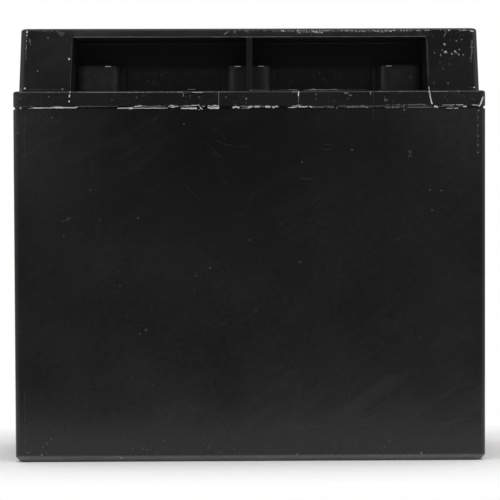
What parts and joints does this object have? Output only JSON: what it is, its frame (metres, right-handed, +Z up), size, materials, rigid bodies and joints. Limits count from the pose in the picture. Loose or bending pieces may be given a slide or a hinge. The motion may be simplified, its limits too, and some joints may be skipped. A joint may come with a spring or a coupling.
{
  "type": "sealed lead-acid battery",
  "caption": "Black sealed block battery for an uninterruptible power supply, with lifting pockets under the lid roof and bolted terminals in two rear corner recesses.",
  "frame": {"origin": "centre of the base, on the surface that the battery stands on", "axes": "+Z up, +X along the case, -Y towards the long side without terminals, as pictured"},
  "size_m": [0.181, 0.077, 0.166],
  "materials": {
    "case_abs": "black ABS, fine satin",
    "lid_abs": "black ABS, fine satin",
    "cover_abs": "black ABS, fine satin",
    "joint_resin": "cured black epoxy",
    "valve_rubber": "black EPDM",
    "seal_rubber": "black nitrile",
    "glass_mat": "white glass microfibre mat",
    "positive_paste": "brown lead dioxide paste on a lead grid",
    "negative_paste": "grey spongy lead on a lead grid",
    "lead": "cast lead",
    "positive_seal_resin": "red epoxy",
    "negative_seal_resin": "blue-black epoxy",
    "tinned_terminal": "tinned copper alloy, dull",
    "plated_steel": "bright zinc plate"
  },
  "bodies": {
    "root": {"case": "case_abs", "lid": "lid_abs", "vent_cover": "cover_abs", "sealing_resin": "joint_resin", "vent_valve_1": "valve_rubber", "separators_1": "glass_mat", "positive_plates_1": "positive_paste", "negative_plates_1": "negative_paste", "positive_strap_1": "lead", "negative_strap_1": "lead", "vent_valve_2": "valve_rubber", "separators_2": "glass_mat", "positive_plates_2": "positive_paste", "negative_plates_2": "negative_paste", "positive_strap_2": "lead", "negative_strap_2": "lead", "vent_valve_3": "valve_rubber", "separators_3": "glass_mat", "positive_plates_3": "positive_paste", "negative_plates_3": "negative_paste", "positive_strap_3": "lead", "negative_strap_3": "lead", "vent_valve_4": "valve_rubber", "separators_4": "glass_mat", "positive_plates_4": "positive_paste", "negative_plates_4": "negative_paste", "positive_strap_4": "lead", "negative_strap_4": "lead", "vent_valve_5": "valve_rubber", "separators_5": "glass_mat", "positive_plates_5": "positive_paste", "negative_plates_5": "negative_paste", "positive_strap_5": "lead", "negative_strap_5": "lead", "vent_valve_6": "valve_rubber", "separators_6": "glass_mat", "positive_plates_6": "positive_paste", "negative_plates_6": "negative_paste", "positive_strap_6": "lead", "negative_strap_6": "lead", "intercell_link_1": "lead", "intercell_link_2": "lead", "intercell_link_3": "lead", "intercell_link_4": "lead", "intercell_link_5": "lead", "positive_pole": "lead", "positive_pole_gasket": "seal_rubber", "positive_pole_seal": "positive_seal_resin", "positive_terminal": "tinned_terminal", "negative_pole": "lead", "negative_pole_gasket": "seal_rubber", "negative_pole_seal": "negative_seal_resin", "negative_terminal": "tinned_terminal", "terminal_bolts": "plated_steel", "terminal_nuts": "plated_steel", "flat_washers": "plated_steel", "spring_washers": "plated_steel"}
  },
  "joints": []
}
